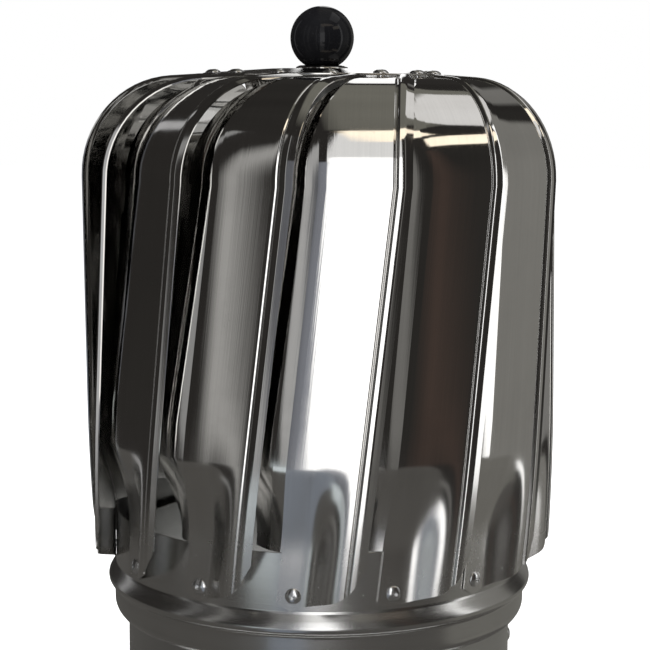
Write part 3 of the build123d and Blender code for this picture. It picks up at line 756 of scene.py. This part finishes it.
# ---- studio: white behind and a pale floor, dark screens round the object with light cards before them ----
studio = {
    "floor": (0.80, 0.80, 0.80), "floorGlow": 0.72, "backdrop": 1.0, "fill": 0.5, "aim": 270.0,
    "screenRadius": 660.0, "screenTop": 1250.0, "screenGap": 9.0, "screen": (0.03, 0.028, 0.026),
    "lidMargin": 20.0, "floorRadius": 8000.0, "floorDrop": 0.5, "cardEnd": 0.94,
}
lamps = {
    # azimuth, elevation, distance, width, height, power
    "keyLight": (-16.0, 30.0, 1900.0, 900.0, 1200.0, 30.0),
    "sideLight": (70.0, 30.0, 2000.0, 700.0, 1200.0, 9.0),
    "overLight": (165.0, 60.0, 1800.0, 900.0, 900.0, 12.0),
}
uprightCards = {
    # azimuth, distance, width, bottom, top, tone, soft edge share
    "softbox": (0.9, 590.0, 179.0, 0.0, 640.0, (2.3, 2.3, 2.33), 0.05),
    "besideSoftbox": (-8.0, 625.0, 355.0, 0.0, 600.0, (0.3, 0.315, 0.36), 1.0),
    "lowLeft": (-26.0, 550.0, 170.0, 0.0, 84.0, (0.78, 0.86, 0.93), 0.25),
    "leftThin": (-21.0, 560.0, 50.0, 60.0, 900.0, (0.5, 0.5, 0.5), 0.4),
    "leftPanel": (-52.4, 560.0, 78.0, 0.0, 900.0, (0.44, 0.435, 0.425), 0.8),
    "leftFar": (-68.7, 560.0, 50.0, 0.0, 900.0, (0.34, 0.34, 0.34), 0.5),
    "rightStrip": (25.8, 560.0, 70.0, 0.0, 900.0, (0.2, 0.196, 0.188), 0.5),
    "rightGlow": (43.0, 600.0, 90.0, 0.0, 700.0, (0.07, 0.05, 0.042), 0.9),
    "warmRight": (58.0, 640.0, 370.0, 775.0, 930.0, (1.9, 1.55, 1.25), 0.15),
    "whiteBand": (75.0, 545.0, 75.0, 40.0, 900.0, (1.9, 1.9, 1.9), 0.15),
    "rightWall": (95.0, 560.0, 390.0, 0.0, 1000.0, (0.25, 0.245, 0.23), 0.2),
    "backRight": (141.0, 560.0, 260.0, 0.0, 1000.0, (0.21, 0.205, 0.195), 0.4),
    "backBox": (177.0, 600.0, 130.0, 0.0, 900.0, (1.5, 1.5, 1.5), 0.2),
    "backLeft": (-117.0, 600.0, 70.0, 0.0, 900.0, (0.55, 0.55, 0.56), 0.3),
}
floorCards = {
    # inner radius, outer radius, from azimuth, to azimuth, level, tone
    "floorDark": (135.0, 700.0, 0.0, 360.0, 1.0, (0.1, 0.096, 0.09)),
    "floorFront": (200.0, 690.0, -22.0, -5.5, 2.0, (0.24, 0.265, 0.31)),
    "floorWhite": (430.0, 690.0, -5.5, 4.0, 2.0, (0.4, 0.4, 0.42)),
    "floorRight": (200.0, 690.0, 60.0, 150.0, 2.0, (0.19, 0.185, 0.17)),
}
overCards = {
    # x, y, level, width, length, turn, tone, soft edge share
    "ceiling": (230.0, 60.0, 1200.0, 820.0, 1300.0, 0.0, (0.20, 0.195, 0.17), 0.3),
    "warmTube": (315.0, -532.0, 1000.0, 770.0, 230.0, 9.2, (1.9, 1.55, 1.25), 0.1),
    "paleCeiling": (450.0, 60.0, 1100.0, 420.0, 600.0, 0.0, (0.95, 0.92, 0.9), 0.15),
}


unlit = ("visible_camera", "visible_diffuse", "visible_shadow")


def stageShape(name, bm, hidden=()):
    shape = bpy.data.meshes.new(name)
    bm.to_mesh(shape)
    bm.free()
    made = bpy.data.objects.new(name, shape)
    bpy.context.scene.collection.objects.link(made)
    for sight in hidden:
        setattr(made, sight, False)
    return made


# 1 for the camera and for what metal mirrors, 0 for the light that falls on things
def seenOnly(finish):
    paths = finish.node("ShaderNodeLightPath")
    seen = finish.read(paths, "Is Camera Ray")
    for ray in ("Is Glossy Ray", "Is Transmission Ray"):
        seen = seen.withMath("MAXIMUM", seen, finish.read(paths, ray))
    return seen


def makeFloor():
    bm = bmesh.new()
    bmesh.ops.create_circle(bm, cap_ends=True, segments=96, radius=studio["floorRadius"])
    bmesh.ops.translate(bm, verts=bm.verts, vec=(0, 0, -studio["floorDrop"]))
    bmesh.ops.scale(bm, vec=(mm, mm, mm), verts=bm.verts)
    made = stageShape("floor", bm)
    finish = Finish("floorPaper")
    grain = finish.noise(finish.objectPlace(), 40.0, 4.0)
    paper = finish.blended(grain, shade(studio["floor"], 0.98), shade(studio["floor"], 1.02))
    lit = finish.read(finish.node("ShaderNodeBsdfDiffuse", None, {"Color": paper}))
    glow = finish.glowing((1, 1, 1, 1), seenOnly(finish) * studio["floorGlow"])
    both = finish.read(finish.node("ShaderNodeAddShader", None, {0: lit, 1: glow}))
    made.data.materials.append(finish.finished(both))


def makeWorld():
    world = bpy.data.worlds.new("studio")
    bpy.context.scene.world = world
    finish = Finish("studio", world)
    strength = seenOnly(finish) * (studio["backdrop"] - studio["fill"]) + studio["fill"]
    sockets = {"Color": (1, 1, 1, 1), "Strength": strength}
    back = finish.read(finish.node("ShaderNodeBackground", None, sockets))
    finish.node("ShaderNodeOutputWorld", None, {"Surface": back})


# cards and screens are seen by the steel alone: they throw no light or shadow on it
def clothGlow(finish, place, scale, tone, dark, light, power=1.0):
    cloth = finish.blended(finish.noise(place, scale, 2.0), shade(tone, dark), shade(tone, light))
    return finish.glowing(cloth, power)


def flatCard(name, width, length, placed, tone, soft):
    bm = bmesh.new()
    bmesh.ops.create_grid(bm, x_segments=1, y_segments=1, size=0.5)
    bmesh.ops.scale(bm, vec=(width * mm, length * mm, 1), verts=bm.verts)
    uv = bm.loops.layers.uv.new("sheet")
    for face in bm.faces:
        for loop in face.loops:
            loop[uv].uv = loop.vert.co.xy
    bmesh.ops.transform(bm, matrix=placed, verts=bm.verts)
    made = stageShape(name, bm, unlit)
    finish = Finish(name)
    place = finish.sheetPlace()
    power = max(1.0, *tone)
    glow = clothGlow(finish, place, 3.0, tuple(part / power for part in tone), 0.85, 1.15, power)
    across = abs(finish.part(place, "X")) * (2 / (width * mm))
    upwards = abs(finish.part(place, "Y")) * (2 / (length * mm))
    fade = finish.ramp(across, [(1 - soft, 1.0), (1.0, 0.0)])
    ends = finish.ramp(upwards, [(studio["cardEnd"], 1.0), (1.0, 0.0)])
    clear = finish.read(finish.node("ShaderNodeBsdfTransparent"))
    card = finish.read(finish.node("ShaderNodeMixShader", None, {0: fade * ends, 1: clear, 2: glow}))
    made.data.materials.append(finish.finished(card))


def floorCard(name, inner, outer, start, end, level, tone):
    bm = bmesh.new()
    first = [bm.verts.new((outward(start, radius) + up(level)) * mm) for radius in (inner, outer)]
    edge = bm.edges.new(first)
    bmesh.ops.spin(
        bm, geom=[*first, edge], cent=(0, 0, 0), axis=(0, 0, 1), angle=radians(end - start),
        steps=max(8, int((end - start) / 4)), use_duplicate=False,
    )
    made = stageShape(name, bm, unlit)
    finish = Finish(name)
    made.data.materials.append(finish.finished(clothGlow(finish, finish.objectPlace(), 6.0, tone, 0.8, 1.2)))


def makeScreen():
    bm = bmesh.new()
    gap, radius, top = studio["screenGap"], studio["screenRadius"], studio["screenTop"]
    start = bm.verts.new(outward(gap, radius))
    high = bm.verts.new(outward(gap, radius) + up(top))
    edge = bm.edges.new((start, high))
    bmesh.ops.spin(
        bm, geom=[start, high, edge], cent=(0, 0, 0), axis=(0, 0, 1), angle=radians(360 - 2 * gap), steps=90,
        use_duplicate=False,
    )
    lid = radius + studio["lidMargin"]
    bmesh.ops.create_circle(bm, cap_ends=True, segments=96, radius=lid, matrix=Matrix.Translation(up(top)))
    bmesh.ops.scale(bm, vec=(mm, mm, mm), verts=bm.verts)
    made = stageShape("screen", bm, unlit)
    finish = Finish("screenCloth")
    glow = clothGlow(finish, finish.objectPlace(), 3.0, studio["screen"], 0.7, 1.3)
    made.data.materials.append(finish.finished(glow))


def facing(spot, aim):
    return Matrix.Translation(spot * mm) @ (spot - aim).to_track_quat("Z", "Y").to_matrix().to_4x4()


def makeLamp(name, azimuth, elevation, distance, width, height, power):
    data = bpy.data.lights.new(name, "AREA")
    data.shape = "RECTANGLE"
    data.size, data.size_y, data.energy = width * mm, height * mm, power
    holder = bpy.data.objects.new(name, data)
    bpy.context.scene.collection.objects.link(holder)
    aim, rise = up(studio["aim"]), radians(elevation)
    spot = aim + outward(azimuth, distance * cos(rise)) + up(distance * sin(rise))
    holder.matrix_world = facing(spot, aim)
    holder.visible_camera = holder.visible_glossy = False


makeWorld()
makeFloor()
makeScreen()
for name, card in floorCards.items():
    floorCard(name, *card)
for name, (azimuth, distance, width, bottom, top, tone, soft) in uprightCards.items():
    spot = outward(azimuth, distance) + up((bottom + top) / 2)
    flatCard(name, width, top - bottom, facing(spot, up(spot.z)), tone, soft)
for name, (x, y, level, width, length, turn, tone, soft) in overCards.items():
    placed = Matrix.Translation(Vector((x, y, level)) * mm) @ Matrix.Rotation(radians(turn), 4, "Z")
    flatCard(name, width, length, placed, tone, soft)
for name, lamp in lamps.items():
    makeLamp(name, *lamp)
print("studio lit")
